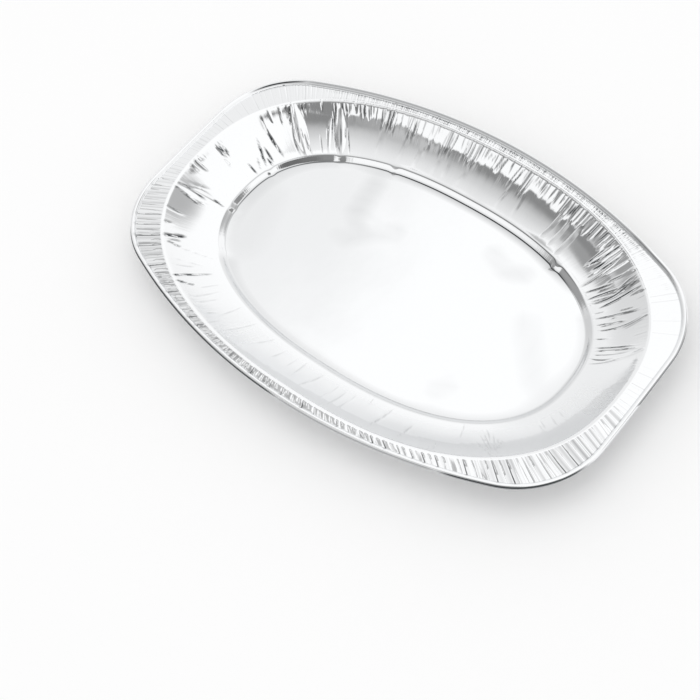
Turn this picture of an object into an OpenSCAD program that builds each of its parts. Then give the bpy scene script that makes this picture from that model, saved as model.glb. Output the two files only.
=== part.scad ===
// Oval foil roasting pan, pressed and gathered from one sheet of aluminium foil.
// The flat well panel is sunk below a small step, a wide hollowed wall climbs to a ridge,
// and a crimped flange runs out from the ridge to a rim whose edge is rolled over and under.
// Millimetres. The origin is the centre of the underside, X runs along the pan and Z is up.

/* [Rim] */
// Length over the rolled rim
overall_l = 430; // [380:5:520]
// Width over the rolled rim
overall_w = 277; // [250:1:320]
// Radius of the rim along the long sides, in plan
side_r = 460; // [420:10:600]
// Radius of the rim across the two ends, which are nearly straight
end_r = 2400; // [900:100:4000]
// Radius of the four corners of the rim
corner_r = 72; // [55:1:85]
// Diameter of the rolled rim
bead_d = 4.2; // [3:0.1:6]
// How far the rolled rim stands above the flange
bead_rise = 2.7; // [2.2:0.1:3.2]

/* [Flange] */
// Width of the flange at the middle of a long side
flange_side = 7.2; // [5:0.1:12]
// Width of the flange at the middle of an end
flange_end = 11.8; // [8:0.1:18]
// How far the ridge stands above the flange
ridge_rise = 0.8; // [0:0.1:1.5]
// Height of the crimps that gather the flange
crimp_h = 0.7; // [0:0.05:1.2]
// Least number of crimps round the flange, which rises to a multiple of eight
crimp_count = 224; // [160:8:224]

/* [Wall] */
// Height of the flange above the table
flange_z = 26; // [15:0.5:40]
// Run of the sloping wall at the middle of a long side, in plan
wall_side = 36; // [25:0.5:42]
// Run of the sloping wall at the middle of an end, in plan
wall_end = 39.5; // [30:0.5:48]
// How far the wall hollows below a straight slope
wall_hollow = 3; // [0:0.1:5]
// Height of the deepest gathers in the wall
gather_h = 1.1; // [0:0.1:1.8]

/* [Well] */
// Height of the step round the well panel
step_h = 4; // [2:0.1:6]
// Run of the step, in plan
step_run = 4.2; // [2:0.1:7]
// Squareness of the ovals: 2 is an ellipse, and more is fuller in the corners
oval_power = 2.35; // [2.1:0.05:2.8]

/* [Foil] */
// Thickness of the foil
foil_t = 0.1; // [0.08:0.01:0.2]

/* [Hidden] */

foil_colour = [0.86, 0.87, 0.88];

// Stations round the pan. Every ring has all of them, every second one or every fourth one.
quarter_coarse = ceil(crimp_count / 8);
coarse = 4 * quarter_coarse;
medium = 2 * coarse;
fine = 4 * coarse;

// Plan of the rim: arcs for the sides, the ends and the corners that are tangent where they meet.
bead_r = bead_d / 2;
half_l = overall_l / 2;
half_w = overall_w / 2;
end_centre = [half_l - end_r, 0];
side_centre = [0, half_w - side_r];
centre_gap = side_centre - end_centre;
centre_distance = norm(centre_gap);
gap_direction = centre_gap / centre_distance;
to_end = end_r - corner_r;
to_side = side_r - corner_r;
along_gap = (to_end * to_end - to_side * to_side + centre_distance * centre_distance)
    / (2 * centre_distance);
across_gap = sqrt(to_end * to_end - along_gap * along_gap);
corner_centre = end_centre + along_gap * gap_direction
    + across_gap * [-gap_direction[1], gap_direction[0]];
end_sweep = direction_of(corner_centre - end_centre);
side_sweep = direction_of(corner_centre - side_centre);

// The ovals of the ridge, of the wall's foot and of the well panel, as half lengths and widths.
ridge_oval = [half_l - bead_d - flange_end, half_w - bead_d - flange_side];
foot_oval = ridge_oval - [wall_end, wall_side];
well_oval = foot_oval - [step_run, step_run];

// Section of the wall and of the rolled rim.
ridge_z = flange_z + ridge_rise;
bead_z = flange_z + bead_rise - bead_r;
wall_stops = [0.3, 0.64, 0.92];
roll_step = 45;
roll_steps = 7;
roll_tuck = 0.35;
rise_run = 0.6;

// Bunches of deeper gathers in the wall: the place as a share of the way round, counted from
// the +X end towards +Y, then how far the bunch spreads either way, then how deep it is.
bunches = [
    [0.050, 0.030, 0.6],
    [0.085, 0.022, 0.8],
    [0.125, 0.025, 1.0],
    [0.165, 0.020, 0.7],
    [0.215, 0.020, 0.4],
    [0.382, 0.014, 1.0],
    [0.417, 0.016, 1.0],
    [0.446, 0.012, 0.7],
    [0.484, 0.014, 0.5],
    [0.545, 0.016, 0.7],
    [0.590, 0.014, 0.5],
    [0.905, 0.020, 0.4]
];

// Nicks where the sheet has folded over in the step, as the place and then the depth.
nicks = [
    [0.146, 1.6],
    [0.326, 0.9],
    [0.382, 0.6],
    [0.460, 0.9],
    [0.527, 0.7],
    [0.588, 0.6]
];
nick_spread = 0.007;

// Rings from the edge of the well panel to the free edge inside the rolled rim.
well_ring = 0;
foot_ring = 1;
ridge_ring = foot_ring + len(wall_stops) + 1;
flange_ring = ridge_ring + 1;
roll_ring = flange_ring + 1;
last_ring = roll_ring + roll_steps;
rings = last_ring + 1;
scatter_scale = 1009;

function direction_of(v) = atan2(v[1], v[0]);
function unit(v) = v / norm(v);
function mix(a, b, t) = a + (b - a) * t;
function flat(v, z) = [v[0], v[1], z];
function total(v, i = 0) = i < len(v) ? v[i] + total(v, i + 1) : 0;

// How strongly a place feels a mark that fades to nothing over a spread, both as shares of the
// way round.
function near(place, mark, spread) =
    let (gap = abs(place - mark))
    max(0, 1 - min(gap, 1 - gap) / spread);

// Irregular but repeatable numbers from 0 to 1, one for each place in each row.
function scatter(place, row) =
    ((place * place * 57 + place * 131 + row * 377) % scatter_scale) / scatter_scale;

// The point of an oval where its outward normal points in the direction given.
function oval_point(oval, direction) =
    let (
        dual = oval_power / (oval_power - 1),
        across = oval[0] * abs(cos(direction)),
        along = oval[1] * abs(sin(direction)),
        reach = pow(pow(across, dual) + pow(along, dual), 1 / dual)
    )
    [
        oval[0] * pow(across / reach, dual - 1),
        oval[1] * pow(along / reach, dual - 1)
    ];

// Distance from a point inside a circle to the circle, along a direction.
function ray_to_circle(from, along, centre, radius) =
    let (
        gap = from - centre,
        b = gap * along
    )
    sqrt(b * b - gap * gap + radius * radius) - b;

// The centre of the arc of the rim that a ray from the ridge meets, and that arc's radius.
function rim_arc(from, along, inset) =
    let (
        end_hit = from + along * ray_to_circle(from, along, end_centre, end_r - inset),
        side_hit = from + along * ray_to_circle(from, along, side_centre, side_r - inset)
    )
    direction_of(end_hit - end_centre) <= end_sweep ? [end_centre, end_r - inset]
    : direction_of(side_hit - side_centre) >= side_sweep ? [side_centre, side_r - inset]
    : [corner_centre, corner_r - inset];

// Length of the ridge, quarter by quarter, against the direction of its normal.
ridge_steps = 180;
ridge_walk = [
    for (
        i = 0, walked = 0, at = oval_point(ridge_oval, 0);
        i <= ridge_steps;
        i = i + 1,
        next = oval_point(ridge_oval, 90 * i / ridge_steps),
        walked = walked + norm(next - at),
        at = next
    )
    [walked, 90 * i / ridge_steps]
];
quarter_length = ridge_walk[ridge_steps][0];

// Where the pleats of one station run: the foot of the wall, the well, the ridge, the outer edge
// of the flange and the outward direction of the rolled rim there, in the first quarter.
function quarter_station(i) =
    let (
        direction = lookup(quarter_length * i / (fine / 4), ridge_walk),
        outward = [cos(direction), sin(direction)],
        ridge = oval_point(ridge_oval, direction),
        arc = rim_arc(ridge, outward, bead_d + rise_run),
        edge = ridge + outward * ray_to_circle(ridge, outward, arc[0], arc[1])
    )
    [
        oval_point(well_oval, direction),
        oval_point(foot_oval, direction),
        ridge,
        edge,
        unit(edge - arc[0])
    ];

quarter_stations = [for (i = [0 : fine / 4]) quarter_station(i)];

// The other three quarters are the first one mirrored.
function station(i) =
    let (
        turn = floor(4 * i / fine) % 4,
        step = i % (fine / 4),
        mirrored = turn % 2 == 1,
        here = quarter_stations[mirrored ? fine / 4 - step : step],
        x_sign = (turn == 1 || turn == 2) ? -1 : 1,
        y_sign = turn >= 2 ? -1 : 1
    )
    [for (p = here) [p[0] * x_sign, p[1] * y_sign]];

stations = [for (i = [0 : fine - 1]) station(i)];

// Height of the hollowed wall at a share of its run, from the foot to the ridge.
function wall_height(share) =
    mix(step_h, ridge_z, share) - 4 * wall_hollow * share * (1 - share);

// A point of the rolled rim, which starts at the flange side, goes over the top and tucks under.
function roll_point(edge, outward, step) =
    let (
        turned = roll_step * step,
        radius = bead_r - foil_t / 2 - roll_tuck * max(0, turned - 180) / 180,
        reach = rise_run + bead_r - radius * cos(turned)
    )
    flat(edge + outward * reach, bead_z + radius * sin(turned));

// How deep the nick in the step is at a station.
function nick(i) = total([for (n = nicks) n[1] * near(i / fine, n[0], nick_spread)]);

// The smooth surface in the middle of the foil, before crimps and gathers.
function smooth_point(ring, i) =
    let (
        s = stations[i],
        share = ring > foot_ring && ring < ridge_ring ? wall_stops[ring - foot_ring - 1] : 0
    )
    ring == well_ring ? flat(s[0] - unit(s[0]) * nick(i), foil_t / 2)
    : ring == foot_ring ? flat(s[1] - unit(s[1]) * nick(i), step_h - 0.4 * nick(i))
    : ring < ridge_ring ? flat(mix(s[1], s[2], share), wall_height(share))
    : ring == ridge_ring ? flat(s[2], ridge_z)
    : ring == flange_ring ? flat(s[3], flange_z)
    : roll_point(s[3], s[4], ring - roll_ring);

// Upward normal of the smooth surface, across the line from one ring to the next.
function surface_normal(ring, i) =
    let (
        s = stations[i],
        outward = ring < flange_ring ? s[3] - s[2] : s[4],
        ahead = smooth_point(min(ring + 1, last_ring), i),
        behind = smooth_point(max(ring - 1, well_ring), i)
    )
    ring == well_ring ? [0, 0, 1]
    : unit(cross(ahead - behind, [-outward[1], outward[0], 0]));

// Crimps alternate up and down at every fine station, each a little different from the last,
// and are pressed nearly smooth over the ridge.
ridge_crimp = 0.35;
function crimp(i) =
    (i % 2 == 0 ? 1 : -1) * crimp_h * mix(0.25, 0.6, scatter(i, 1));

// Gathers are deep near the ridge and fade towards the foot. In a bunch they are deeper and
// run further down.
function gather(i, share) =
    let (
        place = floor(i * medium / fine),
        bunch = min(1, total([for (b = bunches) b[2] * near(i / fine, b[0], b[1])])),
        length = mix(0.35, 0.7, scatter(floor(place / 2), 3)) + 0.6 * bunch,
        fade = max(0, 1 - (1 - share) / length)
    )
    (place % 2 == 0 ? 1 : -1) * gather_h * mix(0.1, 0.25, scatter(place, 2))
        * (1 + 1.4 * bunch) * fade;

function wrinkle(ring, i) =
    ring == flange_ring ? crimp(i)
    : ring == ridge_ring ? crimp(i) * ridge_crimp
    : ring > foot_ring && ring < ridge_ring ? gather(i, wall_stops[ring - foot_ring - 1])
    : 0;

// How many stations a ring has: few on the roll and most on the crimped flange.
function ring_count(ring) =
    ring >= roll_ring ? coarse
    : ring < ridge_ring ? medium
    : fine;

function ring_start(ring) = ring == 0 ? 0 : ring_start(ring - 1) + ring_count(ring - 1);

// One skin of the foil: the upper one has side 1 and the under one has side -1.
function skin(side) = [
    for (ring = [0 : last_ring])
        let (stride = fine / ring_count(ring))
        for (j = [0 : ring_count(ring) - 1])
            let (i = j * stride)
            smooth_point(ring, i)
                + surface_normal(ring, i) * (wrinkle(ring, i) + side * foil_t / 2)
];

skin_size = ring_start(rings);

// Triangles between a ring and one that has as many stations, or 2 or 4 times as many.
function strip(few_start, few, many_start, many) =
    let (
        ratio = many / few,
        middle = ceil(ratio / 2)
    )
    [
        for (i = [0 : few - 1])
            let (
                here = few_start + i,
                next = few_start + (i + 1) % few
            )
            each concat(
                [
                    for (j = [0 : ratio - 1])
                        [
                            j < middle ? here : next,
                            many_start + (i * ratio + j + 1) % many,
                            many_start + (i * ratio + j) % many
                        ]
                ],
                [[here, next, many_start + (i * ratio + middle) % many]]
            )
    ];

function turned_over(faces) = [for (f = faces) [for (k = [len(f) - 1 : -1 : 0]) f[k]]];

function raised(faces, by) = [for (f = faces) [for (v = f) v + by]];

// Faces between two neighbouring rings of a skin, all facing the same way.
function ring_faces(inner, outer) =
    let (
        inner_count = ring_count(inner),
        outer_count = ring_count(outer)
    )
    inner_count <= outer_count
        ? strip(ring_start(inner), inner_count, ring_start(outer), outer_count)
        : turned_over(strip(ring_start(outer), outer_count, ring_start(inner), inner_count));

// The upper skin, with the well panel as one flat face.
upper_faces = concat(
    [[for (j = [medium - 1 : -1 : 0]) j]],
    [for (ring = [0 : last_ring - 1]) each ring_faces(ring, ring + 1)]
);

// The two skins meet along the free edge of the foil, inside the rolled rim.
free_edge = [
    for (j = [0 : coarse - 1])
        let (
            here = ring_start(last_ring) + j,
            next = ring_start(last_ring) + (j + 1) % coarse
        )
        each [
            [here, next, next + skin_size],
            [here, next + skin_size, here + skin_size]
        ]
];

// The whole pan is one pressed sheet.
module foil_pan() {
    color(foil_colour)
        polyhedron(
            points = concat(skin(1), skin(-1)),
            faces = concat(
                upper_faces,
                raised(turned_over(upper_faces), skin_size),
                free_edge
            ),
            convexity = 6
        );
}

foil_pan();
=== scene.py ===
"""Looks of a shallow oval foil roasting pan, gathered and pressed from one sheet of foil.

Sizes are in millimetres until a mesh or a material is made, and in metres from there on.
The frame is the same as the solid's: X along the pan, Z up, origin under the well panel.
"""

import logging
import math
import random
from dataclasses import dataclass, field
from enum import Enum
from typing import ClassVar, Optional

import bpy
import numpy as np
from mathutils import Matrix, Vector


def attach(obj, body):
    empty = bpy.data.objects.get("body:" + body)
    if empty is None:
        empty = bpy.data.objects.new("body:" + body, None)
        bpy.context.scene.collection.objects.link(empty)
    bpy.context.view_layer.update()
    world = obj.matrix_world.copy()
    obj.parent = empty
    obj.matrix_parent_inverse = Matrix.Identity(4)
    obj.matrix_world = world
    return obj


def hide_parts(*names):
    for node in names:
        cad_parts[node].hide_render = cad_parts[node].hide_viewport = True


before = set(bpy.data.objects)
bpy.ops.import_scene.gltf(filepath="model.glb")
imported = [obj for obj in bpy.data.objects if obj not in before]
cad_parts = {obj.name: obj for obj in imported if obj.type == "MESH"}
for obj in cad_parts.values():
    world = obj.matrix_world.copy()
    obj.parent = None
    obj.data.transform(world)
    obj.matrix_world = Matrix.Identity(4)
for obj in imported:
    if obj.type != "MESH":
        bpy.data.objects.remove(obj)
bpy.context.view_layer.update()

MM = 0.001
log = logging.getLogger("foil_pan")

# A table of places round the pan, or of other shares from 0 to 1, each with a value.
Table = tuple[tuple[float, float], ...]


def hex_to_linear(code: str) -> tuple[float, ...]:
    """Turns an sRGB hex colour into the linear colour that a shader takes.

    Args:
        code: the colour as #RRGGBB.

    Returns:
        Linear red, green and blue, and an opacity of 1.
    """
    parts = [int(code[i : i + 2], 16) / 255 for i in (1, 3, 5)]
    return (*(c / 12.92 if c <= 0.04045 else ((c + 0.055) / 1.055) ** 2.4 for c in parts), 1.0)


def add_node(
    tree: bpy.types.NodeTree,
    kind: str,
    settings: Optional[dict[str, object]] = None,
    links: Optional[dict[object, bpy.types.NodeSocket]] = None,
) -> bpy.types.Node:
    """Adds a node with its settings and its incoming links.

    Args:
        tree: the node tree to add it to.
        kind: Blender's name for the node.
        settings: values by name or number. The name of an option sets it, any other its socket.
        links: the sockets that feed the node, by input name or number.

    Returns:
        The new node.
    """
    node = tree.nodes.new(kind)
    for name, value in (settings or {}).items():
        if isinstance(name, int) or not hasattr(node, name):
            node.inputs[name].default_value = value
        else:
            setattr(node, name, value)
    for name, source in (links or {}).items():
        tree.links.new(source, node.inputs[name])
    return node


def fill_ramp(ramp: bpy.types.ColorRamp, stops: tuple[tuple[float, str], ...]) -> None:
    """Sets a colour ramp's stops.

    Args:
        ramp: the ramp of a Color Ramp node.
        stops: positions from 0 to 1, each with an sRGB hex colour.
    """
    while len(ramp.elements) < len(stops):
        ramp.elements.new(1.0)
    for element, (position, colour) in zip(ramp.elements, stops):
        element.position = position
        element.color = hex_to_linear(colour)


def smooth(value: np.ndarray) -> np.ndarray:
    """Eases numbers between 0 and 1, with the ends held."""
    v = np.clip(value, 0.0, 1.0)
    return v * v * (3.0 - 2.0 * v)


def read_off(table: Table, place: np.ndarray) -> np.ndarray:
    """Reads the values off a table at the places given."""
    return np.interp(place, *zip(*table))


def scatter(place: np.ndarray, row: int) -> np.ndarray:
    """Irregular but repeatable numbers from 0 to 1, the same ones as in the solid's source."""
    return ((place * place * 57 + place * 131 + row * 377) % 1009) / 1009


class Zone(Enum):
    """Parts of the section between sharp corners, from the middle of the pan outwards."""

    WELL = "well panel"
    STEP = "step"
    WALL = "wall"
    FLANGE = "flange"


@dataclass(frozen=True)
class Lines:
    """The plan's curves at every station: one row of X and Y for each."""

    place: np.ndarray
    well: np.ndarray
    foot: np.ndarray
    ridge: np.ndarray
    edge: np.ndarray
    outward: np.ndarray


@dataclass(frozen=True)
class Plan:
    """The pan from above: superellipses for well, step and ridge, and tangent arcs for the rim."""

    overall_l: float = 430.0
    overall_w: float = 277.0
    side_r: float = 460.0
    end_r: float = 2400.0
    corner_r: float = 72.0
    # The rolled rim's thickness, and how far it stands off the flange where the foil goes up.
    bead_d: float = 4.2
    rise_run: float = 0.6
    # Widths of the flange and runs of the wall, along the sides and at the ends.
    flange_side: float = 7.2
    flange_end: float = 11.8
    wall_side: float = 36.0
    wall_end: float = 39.5
    step_run: float = 4.2
    # The power of the superellipses: 2 is an ellipse, and more is squarer.
    oval_power: float = 2.35
    # How finely the ridge is walked along, to space the stations evenly.
    walk_steps: int = 180

    def ridge_oval(self) -> np.ndarray:
        """Half length and half width of the ridge."""
        half = np.array([self.overall_l, self.overall_w]) / 2
        return half - self.bead_d - np.array([self.flange_end, self.flange_side])

    def foot_oval(self) -> np.ndarray:
        """Half length and half width of the wall's foot."""
        return self.ridge_oval() - np.array([self.wall_end, self.wall_side])

    def well_oval(self) -> np.ndarray:
        """Half length and half width of the flat well panel."""
        return self.foot_oval() - self.step_run

    def oval_points(self, oval: np.ndarray, angle: np.ndarray) -> np.ndarray:
        """Points of an oval where its outward normal has the given angles.

        Args:
            oval: half length and half width.
            angle: angles of the normal in radians, in the first quarter.

        Returns:
            One row of X and Y for each angle.
        """
        dual = self.oval_power / (self.oval_power - 1)
        across = oval[0] * np.abs(np.cos(angle))
        along = oval[1] * np.abs(np.sin(angle))
        reach = (across**dual + along**dual) ** (1 / dual)
        return np.stack(
            [oval[0] * (across / reach) ** (dual - 1), oval[1] * (along / reach) ** (dual - 1)], 1
        )

    def ridge_walk(self) -> tuple[np.ndarray, np.ndarray]:
        """Length walked along a quarter of the ridge, against the angle of its normal.

        Returns:
            The lengths, and the angles in radians.
        """
        steps = self.walk_steps
        angles = np.radians(np.concatenate([[0.0], 90 * np.arange(0, steps + 1) / steps]))
        points = self.oval_points(self.ridge_oval(), angles)
        return np.cumsum(np.linalg.norm(np.diff(points, axis=0), axis=1)), angles[1:]

    def girth(self) -> float:
        """Length of the ridge all the way round."""
        return 4 * float(self.ridge_walk()[0][-1])

    def rim_arcs(self) -> tuple[np.ndarray, np.ndarray, np.ndarray]:
        """Centres of the rim's arcs at the end, at the side and in the corner."""
        end = np.array([self.overall_l / 2 - self.end_r, 0.0])
        side = np.array([0.0, self.overall_w / 2 - self.side_r])
        gap = side - end
        apart = float(np.linalg.norm(gap))
        ahead = gap / apart
        to_end, to_side = self.end_r - self.corner_r, self.side_r - self.corner_r
        along = (to_end**2 - to_side**2 + apart**2) / (2 * apart)
        across = math.sqrt(to_end**2 - along**2)
        return end, side, end + along * ahead + across * np.array([-ahead[1], ahead[0]])

    def meet_rim(self, start: np.ndarray, along: np.ndarray) -> tuple[np.ndarray, np.ndarray]:
        """Where lines from the ridge meet the flange's outer edge.

        Args:
            start: points on the ridge.
            along: unit directions to go from them.

        Returns:
            The points met, and the rim's outward direction there.
        """
        inset = self.bead_d + self.rise_run
        end, side, corner = self.rim_arcs()
        arcs = [(end, self.end_r - inset), (side, self.side_r - inset), (corner, self.corner_r - inset)]
        hits = []
        for centre, radius in arcs:
            gap = start - centre
            b = (gap * along).sum(1)
            reach = np.sqrt(np.maximum(b * b - (gap * gap).sum(1) + radius * radius, 0)) - b
            hits.append(start + along * reach[:, None])
        end_sweep = math.atan2(*(corner - end)[::-1])
        side_sweep = math.atan2(*(corner - side)[::-1])
        on_end = np.arctan2(*(hits[0] - end).T[::-1]) <= end_sweep
        on_side = np.arctan2(*(hits[1] - side).T[::-1]) >= side_sweep
        which = np.where(on_end, 0, np.where(on_side, 1, 2))
        met = np.choose(which[:, None], hits)
        centres = np.array([end, side, corner])[which]
        out = met - centres
        return met, out / np.linalg.norm(out, axis=1)[:, None]

    def lines(self, place: np.ndarray) -> Lines:
        """The plan's curves at the places given.

        Args:
            place: shares of the way round, from the +X end towards +Y.

        Returns:
            The curves' points and the rim's outward directions.
        """
        turn = np.floor(4 * place).astype(int) % 4
        local = 4 * place - np.floor(4 * place)
        local = np.where(turn % 2 == 1, 1 - local, local)
        lengths, angles = self.ridge_walk()
        angle = np.interp(local * lengths[-1], lengths, angles)
        outward = np.stack([np.cos(angle), np.sin(angle)], 1)
        ridge = self.oval_points(self.ridge_oval(), angle)
        edge, rim_out = self.meet_rim(ridge, outward)
        sign = np.stack(
            [np.where((turn == 1) | (turn == 2), -1, 1), np.where(turn >= 2, -1, 1)], 1
        )
        return Lines(
            place,
            self.oval_points(self.well_oval(), angle) * sign,
            self.oval_points(self.foot_oval(), angle) * sign,
            ridge * sign,
            edge * sign,
            rim_out * sign,
        )


@dataclass(frozen=True)
class Section:
    """The pan cut across: heights of the well, the step, the hollowed wall and the rim."""

    # Height of the flange's outer edge, and how far the ridge and the rolled rim rise above it.
    flange_z: float = 26.0
    ridge_rise: float = 0.8
    bead_rise: float = 2.7
    step_h: float = 4.0
    # How far the wall sags below a straight line, and the foil's thickness.
    wall_hollow: float = 3.0
    foil_t: float = 0.1
    # How far the rim is rolled, in degrees, and how much tighter the roll gets on its way under.
    roll_turn: float = 315.0
    roll_tuck: float = 0.35

    def ridge_z(self) -> float:
        """Height of the ridge."""
        return self.flange_z + self.ridge_rise

    def at(self, lines: Lines, zone: Zone, share: float) -> np.ndarray:
        """The sharp section's points all the way round, at a share of a zone's run.

        Args:
            lines: the plan's curves.
            zone: the part of the section.
            share: 0 at the zone's inner edge and 1 at its outer edge.

        Returns:
            One row of X, Y and Z for each station.
        """
        ends = {
            Zone.WELL: (lines.well * 0.0, lines.well),
            Zone.STEP: (lines.well, lines.foot),
            Zone.WALL: (lines.foot, lines.ridge),
            Zone.FLANGE: (lines.ridge, lines.edge),
        }[zone]
        flat = ends[0] + (ends[1] - ends[0]) * share
        low = self.foil_t / 2
        hollow = 4 * self.wall_hollow * share * (1 - share)
        height = {
            Zone.WELL: low,
            Zone.STEP: low + (self.step_h - low) * share,
            Zone.WALL: self.step_h + (self.ridge_z() - self.step_h) * share - hollow,
            Zone.FLANGE: self.ridge_z() - self.ridge_rise * share,
        }[zone]
        return np.column_stack([flat, np.full(len(flat), height)])

    def roll(self, lines: Lines, plan: Plan, turned: float) -> np.ndarray:
        """A line of the rolled rim, which goes up from the flange, over and under.

        Args:
            lines: the plan's curves.
            plan: the plan that they are from.
            turned: how far round the roll, in degrees.

        Returns:
            One row of X, Y and Z for each station.
        """
        radius = plan.bead_d / 2 - self.foil_t / 2
        radius -= self.roll_tuck * max(0.0, turned - 180) / 180
        angle = math.radians(turned)
        reach = plan.rise_run + plan.bead_d / 2 - radius * math.cos(angle)
        height = self.flange_z + self.bead_rise - plan.bead_d / 2 + radius * math.sin(angle)
        flat = lines.edge + lines.outward * reach
        return np.column_stack([flat, np.full(len(flat), height)])


@dataclass(frozen=True)
class Fold:
    """One fold of the wall, from its upper end to its lower end.

    Places are shares of the way round, heights are shares of the wall's run, and the rest is in
    millimetres. A wide fold is a rounded leaf, and a narrow one is a crease.
    """

    upper: float
    top: float
    lower: float
    bottom: float
    bow: float
    half_width: float
    rise: float
    shade: float = 0.0
    drawn_out: float = 1.0
    # Folds that are wider than this to either side are leaves.
    leaf_width: ClassVar[float] = 1.9
    # The least width of a leaf, as a share, and how far its width and its height lean down.
    leaf_least: ClassVar[float] = 0.25
    width_lean: ClassVar[float] = 1.3
    rise_lean: ClassVar[float] = 1.5
    # How many times shorter than a crease its tapered ends are. One that starts at the ridge,
    # above the height given, has no upper taper.
    taper: ClassVar[float] = 4
    from_ridge: ClassVar[float] = 0.97

    def shape(self, along: np.ndarray, girth: float, share: float) -> tuple[np.ndarray, np.ndarray]:
        """The fold's push and shade along a line round the wall.

        Args:
            along: distances round the ridge, in millimetres.
            girth: the length right round.
            share: how far up the wall the line is.

        Returns:
            The push along the surface's normal in millimetres, and the painted shade from 0 to 1.
        """
        run = (share - self.bottom) / (self.top - self.bottom)
        if not 0 < run < 1:
            return np.zeros_like(along), np.zeros_like(along)
        centre = (self.lower + (self.upper - self.lower) * run) * girth + 4 * self.bow * run * (1 - run)
        off = (along - centre + girth / 2) % girth - girth / 2
        if self.half_width > self.leaf_width:
            swell = (1 - self.leaf_least) * math.sin(math.pi * (1 - run) ** self.width_lean)
            width = self.half_width * (self.leaf_least + swell)
            form = np.maximum(0, 1 - (off / width) ** 2)
            size = math.sin(math.pi * (1 - run) ** self.rise_lean)
        else:
            # Steep on one side and drawn out on the other, as a crease is where it lies over.
            width = self.half_width * np.where(off < 0, self.drawn_out, 1.0)
            form = np.maximum(0, 1 - np.abs(off) / width)
            top = 1.0 if self.top > self.from_ridge else min(1.0, self.taper * (1 - run))
            size = min(1.0, self.taper * run) * top
        # The shade is painted: it darkens the colour along the fold.
        return self.rise * size * form, self.shade * size * form
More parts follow.
